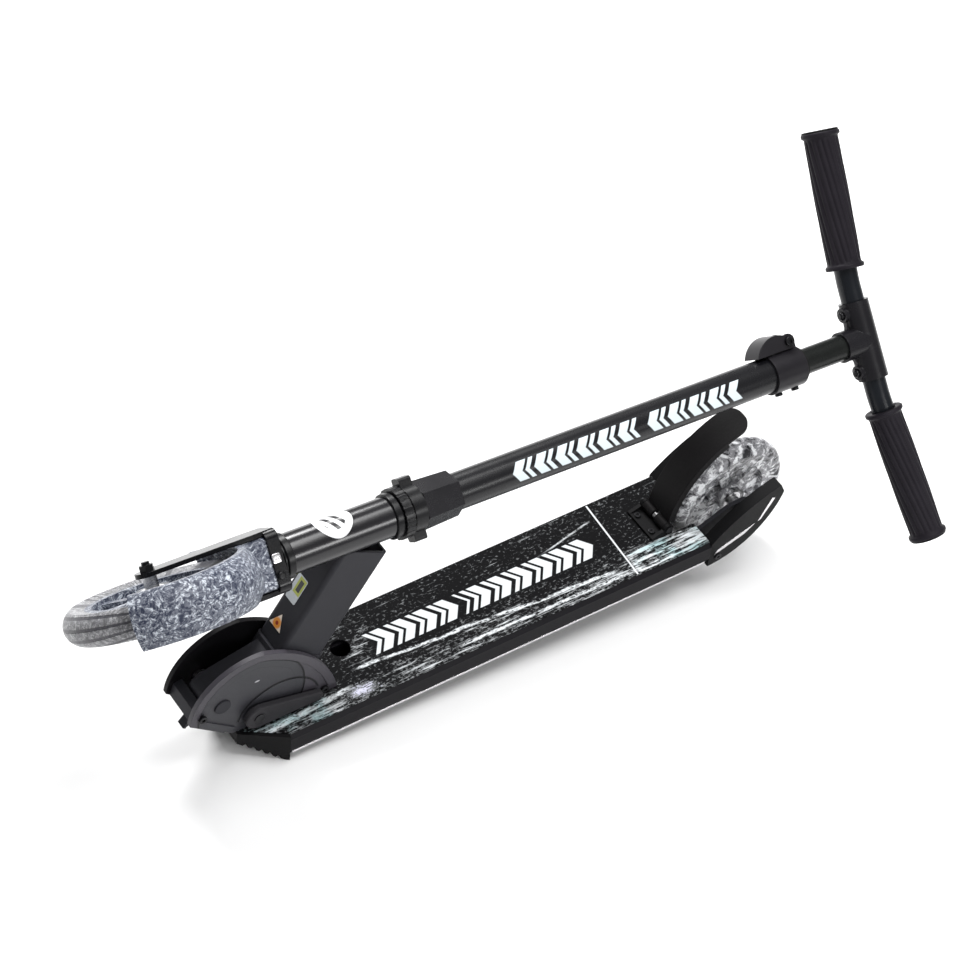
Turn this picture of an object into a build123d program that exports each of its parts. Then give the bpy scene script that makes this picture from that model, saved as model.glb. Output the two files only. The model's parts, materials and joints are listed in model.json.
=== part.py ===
"""Folding kick scooter, modelled in its folded state.

Design frame in millimetres: +X to the nose, +Y to the rider's left, +Z up from the deck's top face.
Column stations run from the fork crown towards the handlebar; at the end every piece is stood on the ground.
"""
import os
from math import asin, atan2, cos, degrees, hypot, radians, sin

from build123d import *

# Deck
deck_width = 116.0
deck_height = 38.0
sheet_thickness = 1.0
deck_front = 195.0
deck_arm_end = -330.0
nose_tip = 240.0
nose_tip_half = 28.0
nose_tip_drop = 16.0
deck_wall = 3.0
slot_width = 47.0
slot_start = -304.0
groove_height = 3.0
groove_depth = 2.0
groove_level = -27.0
lift_hole_x = 93.0
lift_hole_y = -15.0
lift_hole_radius = 11.0

# Fan plates and folding pivot
fan_gap = 42.0
fan_thickness = 4.0
fan_rim_height = 1.5
fan_rim_width = 9.0
lobe_height = 0.9
pivot_x = 257.0
pivot_z = 51.0
pivot_radius = 5.0
fold_angle = 80.0
lock_x = 219.0
lock_z = 20.0
lock_radius = 6.0
lock_relief = 0.4
shaft_clearance = 0.05
lever_thickness = 6.0
side_clearance = 1.0

# Column, measured along its axis from the crown's centre
crown_x = 193.3
crown_z = 210.5
column_tilt = 4.2
steering_turn = -45.5
head_start = 14.0
head_end = 130.0
head_radius = 21.0
head_wall = 2.5
steerer_radius = 15.0
steerer_wall = 2.5
main_tube_start = 170.0
main_tube_end = 636.0
main_tube_radius = 19.0
main_tube_wall = 2.5
stem_radius = 14.0
stem_wall = 2.0
stem_start = 400.0
bar_station = 742.0
bar_radius = 12.7
bar_wall = 2.0
bar_half = 226.0
bar_sweep = 5.5
tee_half = 43.0
tee_radius = 16.5
grip_length = 148.0
grip_radius = 19.0
grip_flange_radius = 21.0

# Front fork and wheel
front_wheel_radius = 91.0
axle_drop = front_wheel_radius + 34.5
front_wheel_width = 32.0
blade_inner = 27.0
blade_thickness = 4.5
front_fender_gap = 9.0
front_fender_width = 53.0

# Rear wheel and brake
rear_axle_x = -389.0
rear_axle_z = -2.0
rear_wheel_radius = 72.5
rear_wheel_width = 28.0
dropout_inner = 26.0
dropout_thickness = 5.0
brake_hinge_x = -296.0
brake_hinge_z = 8.0
brake_width = 37.0
brake_thickness = 4.0
bracket_screw_x = brake_hinge_x + 15.0
bracket_screw_y = 13.0
bracket_screw_radius = 2.0

# Bought parts
axle_radius = 4.0
bearing_radius = 11.0
bearing_width = 7.0
hub_half = 15.0
web_thickness = 8.0

tilt = radians(column_tilt)
turn = radians(steering_turn)
column_axis = Vector(-cos(tilt), 0, -sin(tilt))
column_up = Vector(-sin(tilt), 0, cos(tilt))
bar_axis = Vector(0, cos(turn), 0) + column_up * sin(turn)
crown_point = Vector(crown_x, 0, crown_z)
front_axle_point = crown_point - column_axis * axle_drop
bar_point = crown_point + column_axis * bar_station

# Sections square to the column (x along the bars) and side views of the fork (x along the column)
column = Plane(origin=crown_point, x_dir=bar_axis, z_dir=column_axis)
fork_side = Plane(origin=front_axle_point, x_dir=column_axis, z_dir=bar_axis)
front_hub = Plane(origin=front_axle_point, x_dir=column_axis, z_dir=column_axis.cross(bar_axis))
rear_hub = Plane(origin=(rear_axle_x, 0, rear_axle_z), x_dir=(1, 0, 0), z_dir=(0, 0, 1))

fan_inner = fan_gap / 2
fan_outer = fan_inner + fan_thickness
neck_half = fan_inner - side_clearance
deck_half = deck_width / 2
deck_top = -sheet_thickness
lever_gap = 4.2
pieces = []


def keep(name, part):
    """Label a finished piece and hold it for export."""
    part.label = name
    pieces.append(part)


def across(y):
    """A side-view sketch plane at this y; extruding it goes towards -y."""
    return Plane.XZ.offset(-y)


def facing(side, x, y, z):
    """A plane at a point, facing the rider's left (side 1) or right (side -1)."""
    return Plane(origin=(x, y, z), x_dir=(1, 0, 0), z_dir=(0, side, 0))


def ring(plane, start, end, outer, inner):
    """A plain ring or tube between two offsets of a plane."""
    with BuildPart() as tube:
        with BuildSketch(plane.offset(start)):
            Circle(outer)
            Circle(inner, mode=Mode.SUBTRACT)
        extrude(amount=end - start)
    return tube.part


def bolt(plane, start, length, radius, head_radius, head_height, socket=True):
    """A cap screw whose head starts at the offset and whose shank runs against the plane's normal."""
    with BuildPart() as screw:
        with BuildSketch(plane.offset(start)):
            Circle(head_radius)
        extrude(amount=head_height)
        fillet(screw.edges().filter_by(GeomType.CIRCLE).group_by(SortBy.LENGTH)[-1], head_height * 0.18)
        with BuildSketch(plane.offset(start)):
            Circle(radius)
        extrude(amount=-length)
        if socket:
            with BuildSketch(plane.offset(start + head_height)):
                RegularPolygon(head_radius * 0.52, 6)
            extrude(amount=-head_height * 0.55, mode=Mode.SUBTRACT)
    return screw.part


def nut(plane, start, height, across_corners, bore):
    """A chamfered hex nut standing on the plane's offset."""
    with BuildPart() as hexagon:
        with BuildSketch(plane.offset(start)):
            RegularPolygon(across_corners, 6)
            Circle(bore, mode=Mode.SUBTRACT)
        extrude(amount=height)
    return hexagon.part


def together(parts):
    """Gather separate solids that share one node."""
    return Compound([solid for part in parts for solid in part.solids()])


# Deck extrusion: three chambers, slotted at the rear so that its sides become arms beside the wheel
deck_bottom = -deck_height
inner_wall = slot_width / 2 + 2.0
with BuildPart() as deck_frame:
    with BuildSketch(Plane.YZ.offset(deck_arm_end)) as deck_section:
        with BuildLine():
            Polyline(
                (0, deck_top), (deck_half - 4, deck_top), (deck_half, deck_top - 4),
                (deck_half, groove_level + groove_height), (deck_half - groove_depth, groove_level + groove_height),
                (deck_half - groove_depth, groove_level), (deck_half - 1.0, groove_level),
                (deck_half - 7.5, deck_bottom), (0, deck_bottom),
            )
            mirror(about=Plane.YZ)
        make_face()
        with Locations((0, (deck_top + deck_bottom) / 2)):
            Rectangle(slot_width - 2, deck_height - sheet_thickness - 2 * deck_wall, mode=Mode.SUBTRACT)
        for side in (1, -1):
            chamber_half = (deck_half - 7.5 - inner_wall) / 2
            with Locations((side * (inner_wall + chamber_half), (deck_top + deck_bottom) / 2)):
                Rectangle(2 * chamber_half, deck_height - sheet_thickness - 2 * deck_wall, mode=Mode.SUBTRACT)
    extrude(amount=deck_front - deck_arm_end)
    with BuildSketch(Plane.XY.offset(deck_bottom - 1)):
        with Locations(((deck_arm_end + slot_start) / 2 - 5, 0)):
            Rectangle(slot_start - deck_arm_end + 10, slot_width)
    extrude(amount=deck_height + 2, mode=Mode.SUBTRACT)
    with BuildSketch(Plane.XY.offset(deck_top - deck_wall)):
        with Locations((bracket_screw_x, bracket_screw_y), (bracket_screw_x, -bracket_screw_y)):
            Circle(bracket_screw_radius)
        with Locations((lift_hole_x, lift_hole_y)):
            Circle(lift_hole_radius)
    extrude(amount=deck_wall, mode=Mode.SUBTRACT)
keep("deck_frame", deck_frame.part)

# Nose block: closes the front of the extrusion, tapers in plan and rises underneath like a ski tip
with BuildPart() as nose_block:
    with BuildSketch(Plane.XY.offset(deck_bottom)):
        Polygon(
            (deck_front, deck_half), (nose_tip, nose_tip_half), (nose_tip, -nose_tip_half), (deck_front, -deck_half),
            align=None,
        )
    extrude(amount=deck_height - sheet_thickness)
    with BuildSketch(across(deck_half + 1)):
        Polygon(
            (deck_front + 4, deck_bottom), (nose_tip + 1, -nose_tip_drop), (nose_tip + 1, deck_bottom - 1),
            (deck_front + 4, deck_bottom - 1), align=None,
        )
    extrude(amount=deck_width + 2, mode=Mode.SUBTRACT)
    # Shallow teeth moulded across the rising underside
    rise = (deck_height - nose_tip_drop) / (nose_tip - deck_front - 4)
    for tooth in range(5):
        tooth_x = deck_front + 10 + tooth * 7.0
        with BuildSketch(across(deck_half + 1)):
            with Locations((tooth_x, deck_bottom + (tooth_x - deck_front - 4) * rise)):
                Polygon((-2.5, -2.5), (2.5, 0), (0, 3.5), (-3.2, 2.2), align=None)
        extrude(amount=deck_width + 2, mode=Mode.SUBTRACT)
    # Plugs that enter the side chambers
    for side in (1, -1):
        plug_half = (deck_half - 7.5 - inner_wall) / 2
        with BuildSketch(Plane.YZ.offset(deck_front)):
            with Locations((side * (inner_wall + plug_half), (deck_top + deck_bottom) / 2)):
                Rectangle(2 * plug_half - 1, deck_height - sheet_thickness - 2 * deck_wall - 1)
        extrude(amount=-20)
keep("nose_block", nose_block.part)

# Printed grip sheet over the whole top, following the nose and the two rear arms
with BuildPart() as deck_sheet:
    with BuildSketch(Plane.XY.offset(deck_top)):
        Polygon(
            (deck_arm_end, deck_half - 4), (deck_front - 2, deck_half - 4), (nose_tip - 3, nose_tip_half - 2.5),
            (nose_tip - 3, 2.5 - nose_tip_half), (deck_front - 2, 4 - deck_half), (deck_arm_end, 4 - deck_half),
            align=None,
        )
        with Locations(((deck_arm_end + slot_start) / 2 - 5, 0)):
            Rectangle(slot_start - deck_arm_end + 10, slot_width, mode=Mode.SUBTRACT)
        with Locations((lift_hole_x, lift_hole_y)):
            Circle(lift_hole_radius, mode=Mode.SUBTRACT)
        with Locations((bracket_screw_x, bracket_screw_y), (bracket_screw_x, -bracket_screw_y)):
            Circle(bracket_screw_radius, mode=Mode.SUBTRACT)
    extrude(amount=sheet_thickness)
keep("deck_sheet", deck_sheet.part)

# Bright strips in the side grooves
strips = []
for side in (1, -1):
    with BuildPart() as strip:
        with BuildSketch(Plane.YZ.offset(deck_arm_end + 6)):
            with Locations((side * (deck_half - groove_depth / 2 + 0.25), groove_level + groove_height / 2)):
                Rectangle(groove_depth + 0.5, groove_height - 0.2)
        extrude(amount=deck_front - deck_arm_end - 8)
    strips.append(strip.part)

# Base block between the fan plates, with three cross holes for the plate bolts
base_front = 202.0
base_rear = 128.0
base_height = 14.0
plate_bolt_radius = 3.0
plate_bolts = ((138.0, 7.0), (165.0, 7.0), (192.0, 7.0))
with BuildPart() as base_block:
    with BuildSketch(across(fan_inner)):
        with Locations(((base_front + base_rear) / 2, base_height / 2)):
            Rectangle(base_front - base_rear, base_height)
        with Locations(*plate_bolts):
            Circle(plate_bolt_radius, mode=Mode.SUBTRACT)
    extrude(amount=fan_gap)
    fillet(base_block.edges().filter_by(Axis.Y).group_by(Axis.Z)[-1], 3)
keep("base_block", base_block.part)


def fan_outline():
    """The fan: a round front and top, a fuller back, and an underside that rises towards the front."""
    with BuildSketch() as outline:
        with BuildLine():
            front = ThreePointArc((294, 43), (263, 95), (212, 106))
            back = ThreePointArc(front @ 1, (162, 74), (122, 0))
            Polyline(back @ 1, (244, 0), front @ 0)
        make_face()
    return outline.sketch


def fan_plate(side):
    """One fan-shaped side plate with a raised rim, a raised foot lobe and its shaft holes."""
    outer_face = across(side * fan_outer)
    outwards = -side
    with BuildPart() as plate:
        with BuildSketch(across(side * fan_inner)):
            add(fan_outline())
        extrude(amount=outwards * fan_thickness)
        # Rim band along the fan's curved edge
        with BuildSketch(outer_face):
            add(fan_outline())
            offset(amount=-fan_rim_width, mode=Mode.SUBTRACT)
            with Locations((205, fan_rim_width / 2)):
                Rectangle(200, fan_rim_width + 1, mode=Mode.SUBTRACT)
        extrude(amount=outwards * fan_rim_height)
        with BuildSketch(outer_face):
            with BuildLine():
                lobe = ThreePointArc((146, 14), (200, 48), (238, 14))
                Line(lobe @ 1, lobe @ 0)
            make_face()
        extrude(amount=outwards * lobe_height)
        drill = across(side * (fan_outer + 6))
        with BuildSketch(drill):
            with Locations((pivot_x, pivot_z)):
                Circle(pivot_radius)
            with Locations((lock_x, lock_z)):
                Circle(lock_radius + shaft_clearance)
            with Locations(*plate_bolts):
                Circle(plate_bolt_radius)
            with Locations(*stay_bolts):
                Circle(stay_bolt_radius)
        extrude(amount=-outwards * (fan_thickness + 12), mode=Mode.SUBTRACT)
    return plate.part


stay_bolts = ((280.5, 48.0),)
stay_bolt_radius = 3.0
for side, name in ((1, "left_fan_plate"), (-1, "right_fan_plate")):
    keep(name, fan_plate(side))

# Stay across the front of the fan plates, which also stops the unfolded neck
with BuildPart() as front_stay:
    with BuildSketch(across(fan_inner)):
        with BuildLine():
            Polyline((290, 40), (286, 55), (276.5, 57), (276.5, 46), (281, 33), (290, 40))
        make_face()
        with Locations(*stay_bolts):
            Circle(stay_bolt_radius, mode=Mode.SUBTRACT)
    extrude(amount=fan_gap)
keep("front_stay", front_stay.part)

# Cross bolts and nuts of the fan plates
cross_bolts = []
cross_nuts = []
for x, z in plate_bolts:
    cross_bolts.append(bolt(facing(1, x, fan_outer + lobe_height, z), 0, 2 * fan_outer + 8,
                            plate_bolt_radius, 4.6, 2.6))
    cross_nuts.append(nut(facing(-1, x, -fan_outer - lobe_height, z), 0, 4, 4.9, plate_bolt_radius))
for x, z in stay_bolts:
    cross_bolts.append(bolt(facing(1, x, fan_outer + fan_rim_height, z), 0, 2 * fan_outer + 8,
                            stay_bolt_radius, 4.6, 3.0))
    cross_nuts.append(nut(facing(-1, x, -fan_outer - fan_rim_height, z), 0, 4, 4.9, stay_bolt_radius))
keep("plate_bolts", together(cross_bolts + cross_nuts))

# Folding pivot
keep("pivot_bolt", together([
    bolt(facing(1, pivot_x, fan_outer, pivot_z), 0, 2 * fan_outer + 9, pivot_radius, 9.0, 1.6, socket=False),
    nut(facing(-1, pivot_x, -fan_outer, pivot_z), 0, 6, 9.2, pivot_radius),
]))

# Lock shaft: half of it is cut away between the plates, so that it passes or fills a scallop in the neck
lock_distance = hypot(lock_x - pivot_x, lock_z - pivot_z)
lock_bearing = atan2(lock_z - pivot_z, lock_x - pivot_x)
sector_half = 5.0
with BuildPart() as lock_shaft:
    with BuildSketch(facing(1, lock_x, fan_outer + lever_gap + lever_thickness + 1, lock_z)):
        Circle(lock_radius)
    extrude(amount=-(2 * fan_outer + lever_gap + lever_thickness + 7))
    flat_plane = Plane(origin=(lock_x, sector_half + 1.2, lock_z), x_dir=(cos(lock_bearing), 0, sin(lock_bearing)),
                       z_dir=(0, -1, 0))
    with BuildSketch(flat_plane):
        with Locations((-lock_radius, 0)):
            Rectangle(2 * (lock_radius + lock_relief), 4 * lock_radius)
    extrude(amount=2 * (sector_half + 1.2), mode=Mode.SUBTRACT)
keep("lock_shaft", lock_shaft.part)
keep("lock_nut", nut(facing(-1, lock_x, -fan_outer - lobe_height - 0.3, lock_z), 0, 4.5, 8.6, lock_radius))

# Release lever on the rider's left, lying back along the deck
with BuildPart() as lock_lever:
    with BuildSketch(across(fan_outer + lever_gap)):
        with BuildLine():
            tip_x = 150.0
            tip_radius = 6.0
            head_radius_lever = 15.0
            tip_arc = ThreePointArc((tip_x, 5.0 + 2 * tip_radius), (tip_x - tip_radius, 5.0 + tip_radius), (tip_x, 5.0))
            Line(tip_arc @ 1, (lock_x, lock_z - head_radius_lever))
            head = ThreePointArc((lock_x, lock_z - head_radius_lever), (lock_x + head_radius_lever, lock_z),
                                 (lock_x, lock_z + head_radius_lever))
            Line(head @ 1, (lock_x - 10, lock_z + head_radius_lever - 2))
            Line((lock_x - 10, lock_z + head_radius_lever - 2), tip_arc @ 0)
        make_face()
        with Locations((lock_x, lock_z)):
            Circle(lock_radius, mode=Mode.SUBTRACT)
    extrude(amount=-lever_thickness)
    fillet(lock_lever.faces().sort_by(Axis.Y)[-1].outer_wire().edges(), 1.6)
keep("lock_lever", lock_lever.part)

# Neck: a box-section down tube in a cast shoe whose web reaches forward to the folding pivot
foot_x = 165.0
foot_z = 70.0
neck_lean = 30.3
neck_depth = 60.0
neck_wall = 3.0
shoe_depth = 68.0
shoe_height = 30.0
pocket_mouth = 4.0
web_half = 11.0
sleeve_radius = 9.0
neck_up = Vector(-sin(radians(neck_lean)), 0, cos(radians(neck_lean)))
neck_section = Plane(origin=(foot_x, 0, foot_z), x_dir=(cos(radians(neck_lean)), 0, sin(radians(neck_lean))),
                     z_dir=neck_up)
neck_length = 150.0
label_thickness = 0.4

with BuildPart() as down_tube:
    with BuildSketch(neck_section.offset(-shoe_height / 2)):
        RectangleRounded(neck_depth, 2 * neck_half - 2, 5)
        RectangleRounded(neck_depth - 2 * neck_wall, 2 * neck_half - 2 - 2 * neck_wall, 2, mode=Mode.SUBTRACT)
    extrude(amount=neck_length)
    with BuildSketch(column.offset(head_start - 60)):
        Circle(head_radius)
    extrude(amount=head_end - head_start + 120, mode=Mode.SUBTRACT)
keep("down_tube", down_tube.part)


def polar_point(angle, radius):
    """A side-view point around the folding pivot; angles run from +X towards +Z in degrees."""
    return (pivot_x + radius * cos(radians(angle)), pivot_z + radius * sin(radians(angle)))


lock_angle = degrees(lock_bearing)
sector_start = lock_angle - 12
sector_end = lock_angle + fold_angle + 12
with BuildPart() as neck_shoe:
    # Socket round the foot of the down tube
    with BuildSketch(neck_section):
        RectangleRounded(shoe_depth, 2 * neck_half, 8)
    extrude(amount=-shoe_height)
    # Web and hub
    with BuildSketch(across(web_half)):
        with BuildLine():
            hub = ThreePointArc(polar_point(80, 18), polar_point(0, 18), polar_point(-90, 18))
            Polyline(hub @ 1, (205, 31), (156, 31), (140, 56), (190, 84), hub @ 0)
        make_face()
    extrude(amount=2 * web_half)
    # Locking sector, swept by the lock shaft, with a scallop at each end of the fold
    with BuildSketch(across(sector_half)):
        with BuildLine():
            rim = ThreePointArc(polar_point(sector_start, lock_distance),
                                polar_point((sector_start + sector_end) / 2, lock_distance),
                                polar_point(sector_end, lock_distance))
            Polyline(rim @ 1, (pivot_x, pivot_z), rim @ 0)
        make_face()
    extrude(amount=2 * sector_half)
    with BuildSketch(across(sector_half + 0.01)):
        for scallop in (lock_angle, lock_angle + fold_angle):
            with Locations(polar_point(scallop, lock_distance)):
                Circle(lock_radius + 0.5)
    extrude(amount=2 * sector_half + 0.02, mode=Mode.SUBTRACT)
    # Room for the round ends of the lock shaft and for the pivot sleeve
    with BuildSketch(across(neck_half + 1)):
        with Locations((lock_x, lock_z)):
            Circle(lock_radius + 0.5)
        with Locations((pivot_x, pivot_z)):
            Circle(sleeve_radius)
    extrude(amount=2 * neck_half + 2, mode=Mode.SUBTRACT)
    # Pocket that takes the down tube
    with BuildSketch(neck_section.offset(pocket_mouth)):
        RectangleRounded(neck_depth, 2 * neck_half - 2, 5)
    extrude(amount=-pocket_mouth - shoe_height / 2, mode=Mode.SUBTRACT)
keep("neck_shoe", neck_shoe.part)

pivot_centre = Plane(origin=(pivot_x, 0, pivot_z), x_dir=(1, 0, 0), z_dir=(0, 1, 0))
keep("pivot_sleeve", ring(pivot_centre, -neck_half, neck_half, sleeve_radius, pivot_radius + shaft_clearance))

# Head tube, cups and bearings
head_bore = head_radius - head_wall
cup_radius = head_radius + 2.5
race_radius = steerer_radius + shaft_clearance
with BuildPart() as head_tube:
    with BuildSketch(column.offset(head_start)):
        Circle(head_radius)
        Circle(head_bore, mode=Mode.SUBTRACT)
    extrude(amount=head_end - head_start)
keep("head_tube", head_tube.part)


def head_cup(plane):
    """A cup pressed into the end of the head tube; it opens against the plane's normal."""
    with BuildPart() as cup:
        with BuildSketch(plane.offset(-8)):
            Circle(cup_radius)
            Circle(cup_radius - 3.5, mode=Mode.SUBTRACT)
        extrude(amount=8)
        fillet(cup.edges().filter_by(GeomType.CIRCLE).group_by(SortBy.RADIUS)[-1], 1.2)
        with BuildSketch(plane.offset(-1.5)):
            Circle(cup_radius - 3)
            Circle(steerer_radius + 1.5, mode=Mode.SUBTRACT)
        extrude(amount=1.5)
        with BuildSketch(plane):
            Circle(head_bore)
            Circle(head_bore - 1.5, mode=Mode.SUBTRACT)
        extrude(amount=9)
    return cup.part


lower_cup_plane = column.offset(head_start)
upper_cup_plane = Plane(origin=crown_point + column_axis * head_end, x_dir=bar_axis, z_dir=-column_axis)
cup_planes = (lower_cup_plane, upper_cup_plane)
keep("head_cups", together([head_cup(plane) for plane in cup_planes]))
bearing_outer = cup_radius - 3.5
keep("head_bearings", together([ring(plane, -7.7, -1.5, bearing_outer, race_radius) for plane in cup_planes]))

# Fork: crown and blades in one forging, with the steerer standing on the crown
crown_half_depth = 20.0
crown_top = 4.0
crown_bottom = -9.0
blade_outer = blade_inner + blade_thickness
with BuildPart() as fork:
    with BuildSketch(column.offset(crown_bottom)):
        RectangleRounded(2 * blade_outer, 2 * crown_half_depth, 9)
    extrude(amount=crown_top - crown_bottom)
    for side in (1, -1):
        with BuildSketch(fork_side.offset(side * blade_inner)):
            with BuildLine():
                Polyline((axle_drop + crown_top - 2, 15), (axle_drop - 20, 17), (0, 13))
                toe = ThreePointArc((0, 13), (-13, 0), (0, -13))
                Polyline(toe @ 1, (axle_drop - 20, -17), (axle_drop + crown_top - 2, -15),
                         (axle_drop + crown_top - 2, 15))
            make_face()
            Circle(axle_radius, mode=Mode.SUBTRACT)
        extrude(amount=side * blade_thickness)
    with BuildSketch(column.offset(crown_bottom)):
        Circle(steerer_radius)
    extrude(amount=crown_top - crown_bottom, mode=Mode.SUBTRACT)
keep("fork", fork.part)
keep("steerer", ring(column, crown_bottom, main_tube_start + 35, steerer_radius, steerer_radius - steerer_wall))
keep("crown_race", ring(column, crown_top, crown_top + 1.6, cup_radius - 2, steerer_radius))

# Adjusting nut, lock nut and clamp above the head tube
upper_start = head_end + 8.4
with BuildPart() as headset_nut:
    with BuildSketch(column.offset(upper_start)):
        Circle(26.5)
        with PolarLocations(27.6, 24):
            Circle(1.9, mode=Mode.SUBTRACT)
        Circle(steerer_radius, mode=Mode.SUBTRACT)
    extrude(amount=10)
headset_washer = ring(column, upper_start + 10, upper_start + 12, 22.0, steerer_radius)
keep("headset_nut", together([headset_nut.part, headset_washer]))
with BuildPart() as steerer_clamp:
    with BuildSketch(column.offset(upper_start + 12)):
        Circle(24.5)
        for side in (1, -1):
            with Locations((side * 24, 0)):
                RectangleRounded(17, 15, 3)
        Circle(steerer_radius, mode=Mode.SUBTRACT)
    extrude(amount=14)
keep("steerer_clamp", steerer_clamp.part)

# Hexagonal sleeve that joins the steerer to the main tube
hex_start = upper_start + 26.5
hex_length = 43.0
hex_wide = main_tube_radius + 6.5
hex_narrow = main_tube_radius + 4.5
with BuildPart() as hex_sleeve:
    with BuildSketch(column.offset(hex_start)):
        RegularPolygon(hex_wide, 6)
    with BuildSketch(column.offset(hex_start + hex_length)):
        RegularPolygon(hex_narrow, 6)
    loft()
    with BuildSketch(column.offset(hex_start)):
        Circle(main_tube_radius)
    extrude(amount=hex_length, mode=Mode.SUBTRACT)
keep("hex_sleeve", hex_sleeve.part)
main_bore = main_tube_radius - main_tube_wall
steerer_bush = ring(column, main_tube_start, main_tube_start + 35, main_bore, steerer_radius)
keep("main_tube", ring(column, main_tube_start, main_tube_end, main_tube_radius, main_bore))

# Front mudguard: a crowned channel carried under the crown, forwards to axle level
guard_inner = front_wheel_radius + front_fender_gap
guard_wall = 2.5
guard_half = front_fender_width / 2
guard_front = 128.0
guard_rear = -38.0
guard_profile = Plane(origin=front_axle_point, x_dir=column_axis, z_dir=column_axis.cross(bar_axis))
with BuildPart() as front_mudguard:
    with BuildSketch(guard_profile):
        with BuildLine():
            outer = ThreePointArc((guard_inner - 8, guard_half), (guard_inner + guard_wall, 0),
                                  (guard_inner - 8, -guard_half))
            Line(outer @ 1, (guard_inner - 14, -guard_half))
            Line((guard_inner - 14, -guard_half), (guard_inner - 14, guard_wall - guard_half))
            inner = ThreePointArc((guard_inner - 9, guard_wall - guard_half), (guard_inner, 0),
                                  (guard_inner - 9, guard_half - guard_wall))
            Line((guard_inner - 14, guard_wall - guard_half), inner @ 0)
            Line(inner @ 1, (guard_inner - 14, guard_half - guard_wall))
            Line((guard_inner - 14, guard_half - guard_wall), (guard_inner - 14, guard_half))
            Line((guard_inner - 14, guard_half), outer @ 0)
        make_face()
    revolve(axis=Axis(front_axle_point, bar_axis), revolution_arc=guard_front - guard_rear)
guard_part = front_mudguard.part.rotate(Axis(front_axle_point, bar_axis), guard_rear)
side_depth = 10.0
root_half = 17.5
with BuildPart() as guard_root:
    with BuildSketch(column.offset(crown_bottom)):
        RectangleRounded(front_fender_width, 2 * root_half, 6)
    extrude(amount=-(axle_drop + crown_bottom - guard_inner + side_depth))
    # Keep the wheel's channel open through the root
    with BuildSketch(guard_profile):
        with BuildLine():
            roof = ThreePointArc((guard_inner - 9, guard_wall - guard_half), (guard_inner, 0),
                                 (guard_inner - 9, guard_half - guard_wall))
            Polyline(roof @ 1, (guard_inner / 2, guard_half - guard_wall), (guard_inner / 2, guard_wall - guard_half),
                     roof @ 0)
        make_face()
    revolve(axis=Axis(front_axle_point, bar_axis), mode=Mode.SUBTRACT)
    add(guard_part)
keep("front_mudguard", guard_root.part)


def wheel(plane, radius, width, rim_depth, spokes):
    """Tyre, spoked core and two bearings, revolved about the plane's y axis."""
    axis = Axis(plane.origin, plane.y_dir)
    side = Plane(origin=plane.origin, x_dir=plane.x_dir, z_dir=plane.y_dir)
    rim_radius = radius - rim_depth
    half = width / 2
    with BuildPart() as tyre:
        with BuildSketch(plane):
            with BuildLine():
                tread = ThreePointArc((radius - 10, half), (radius, 0), (radius - 10, -half))
                Polyline(tread @ 1, (rim_radius, 3 - half), (rim_radius, half - 3), tread @ 0)
            make_face()
        revolve(axis=axis)
    with BuildPart() as core:
        with BuildSketch(plane):
            with Locations((rim_radius - 3.5, 0)):
                Rectangle(7, width - 6)
            with Locations((bearing_radius + 2.5, 0)):
                Rectangle(5, 2 * hub_half)
            with Locations((bearing_radius - 1.5, 0)):
                Rectangle(3, 2 * (hub_half - bearing_width))
            with Locations(((rim_radius + bearing_radius) / 2, 0)):
                Rectangle(rim_radius - bearing_radius - 6, web_thickness)
        revolve(axis=axis)
        with BuildSketch(side.offset(-(half - 7))):
            with PolarLocations(0, spokes):
                with Locations(((rim_radius + bearing_radius - 2) / 2, 0)):
                    Rectangle(rim_radius - bearing_radius - 8, 12)
        extrude(amount=2 * (half - 7))
        web_edges = core.edges().filter_by(Axis(plane.origin, plane.y_dir))
        fillet(web_edges, 3)
    bearings = [
        ring(side, face, face + bearing_width, bearing_radius, axle_radius + shaft_clearance)
        for face in (-hub_half, hub_half - bearing_width)
    ]
    return tyre.part, core.part, together(bearings)


for name, parts in (
    ("front", wheel(front_hub, front_wheel_radius, front_wheel_width, 24, 6)),
    ("rear", wheel(rear_hub, rear_wheel_radius, rear_wheel_width, 22, 5)),
):
    for piece, part in zip(("tyre", "wheel_core", "bearings"), parts):
        keep(f"{name}_{piece}", part)

# Front axle with washers, nuts and spacers
front_side = Plane(origin=front_axle_point, x_dir=column_axis, z_dir=bar_axis)
front_other_side = Plane(origin=front_axle_point, x_dir=column_axis, z_dir=-bar_axis)
keep("front_axle", together([
    bolt(front_side, blade_outer, 2 * blade_outer + 9, axle_radius, 7.5, 5),
    nut(front_other_side, blade_outer, 6, 7.5, axle_radius),
]))
keep("front_spacers", together([
    ring(plane, hub_half + 0.3, blade_inner, axle_radius + 3, axle_radius) for plane in (front_side, front_other_side)
]))

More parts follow.
